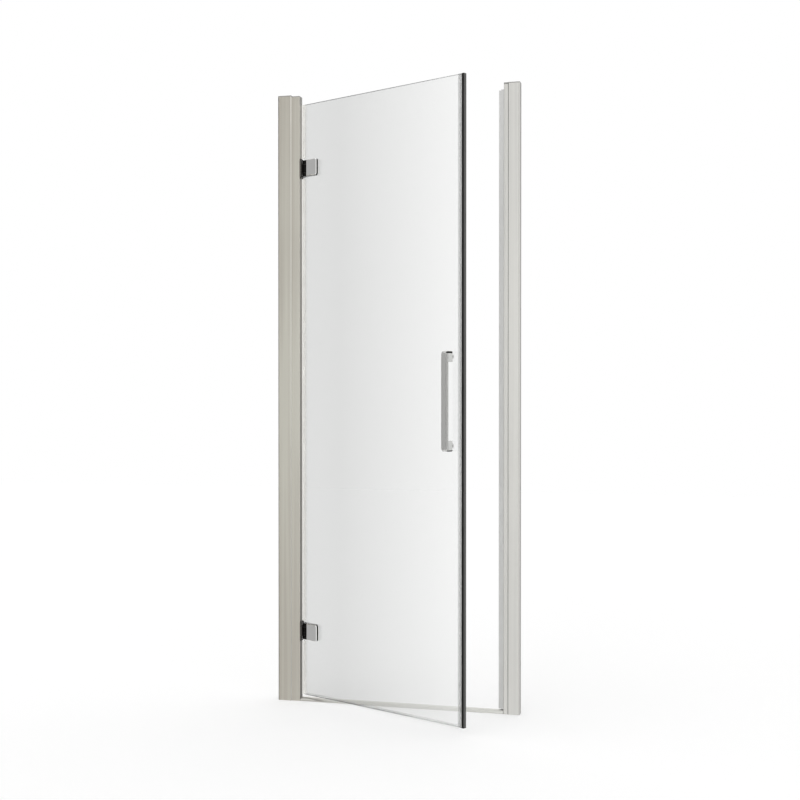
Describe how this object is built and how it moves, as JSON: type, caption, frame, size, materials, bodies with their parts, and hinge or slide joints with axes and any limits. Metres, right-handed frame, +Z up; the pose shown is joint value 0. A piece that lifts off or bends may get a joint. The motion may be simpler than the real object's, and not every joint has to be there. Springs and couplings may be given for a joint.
{
  "type": "hinged shower door",
  "caption": "Recess shower door: a clear glass pane on two clamp hinges, with pull handle, magnet edge seals, wall channels with posts, and a low threshold.",
  "frame": {"origin": "middle of the opening's width on the threshold's underside, at tray level", "axes": "+X from the hinge wall to the strike wall, -Y to the outside of the shower, +Z up"},
  "size_m": [0.766, 0.2936, 1.9],
  "materials": {
    "satin_aluminium": "satin polished",
    "cap_plastic": "moulded grey",
    "screw_steel": "stainless",
    "chrome": "polished chrome plate",
    "toughened_glass": "clear polished",
    "grey_seal": "extruded, smooth",
    "clear_seal": "clear extruded",
    "magnet": "matt black",
    "bush_nylon": "natural nylon",
    "gasket": "soft translucent grey"
  },
  "bodies": {
    "frame": {"hinge_wall_channel": "satin_aluminium", "strike_wall_channel": "satin_aluminium", "hinge_post": "satin_aluminium", "strike_post": "satin_aluminium", "threshold_bar": "satin_aluminium", "hinge_channel_cap": "cap_plastic", "strike_channel_cap": "cap_plastic", "hinge_post_cap": "cap_plastic", "strike_post_cap": "cap_plastic", "threshold_end_plugs": "cap_plastic", "hinge_side_screw_covers": "cap_plastic", "strike_side_screw_covers": "cap_plastic", "hinge_side_lock_screws": "screw_steel", "strike_side_lock_screws": "screw_steel", "upper_hinge_leaf_screws": "screw_steel", "upper_hinge_backing_plate": "screw_steel", "lower_hinge_leaf_screws": "screw_steel", "lower_hinge_backing_plate": "screw_steel", "upper_hinge_wall_leaf": "chrome", "lower_hinge_wall_leaf": "chrome", "strike_seal": "grey_seal", "strike_magnet": "magnet", "upper_hinge_bushes": "bush_nylon", "lower_hinge_bushes": "bush_nylon"},
    "door": {"glass_panel": "toughened_glass", "handle": "chrome", "handle_gaskets": "gasket", "handle_sleeves": "bush_nylon", "handle_washers": "chrome", "handle_screws": "screw_steel", "handle_screw_covers": "chrome", "free_edge_seal": "clear_seal", "free_edge_magnet": "magnet", "hinge_edge_seal": "clear_seal", "drip_seal": "clear_seal", "upper_hinge_front_plate": "chrome", "upper_hinge_back_plate": "chrome", "upper_hinge_gaskets": "gasket", "upper_hinge_clamp_screws": "screw_steel", "upper_hinge_pin": "screw_steel", "lower_hinge_front_plate": "chrome", "lower_hinge_back_plate": "chrome", "lower_hinge_gaskets": "gasket", "lower_hinge_clamp_screws": "screw_steel", "lower_hinge_pin": "screw_steel"}
  },
  "joints": [
    {"name": "door_swing", "type": "hinge", "parent": "frame", "child": "door", "pos_m": [-0.299, 0, 0.945], "axis": [0, 0, -1], "range_deg": [-25, 65]}
  ]
}
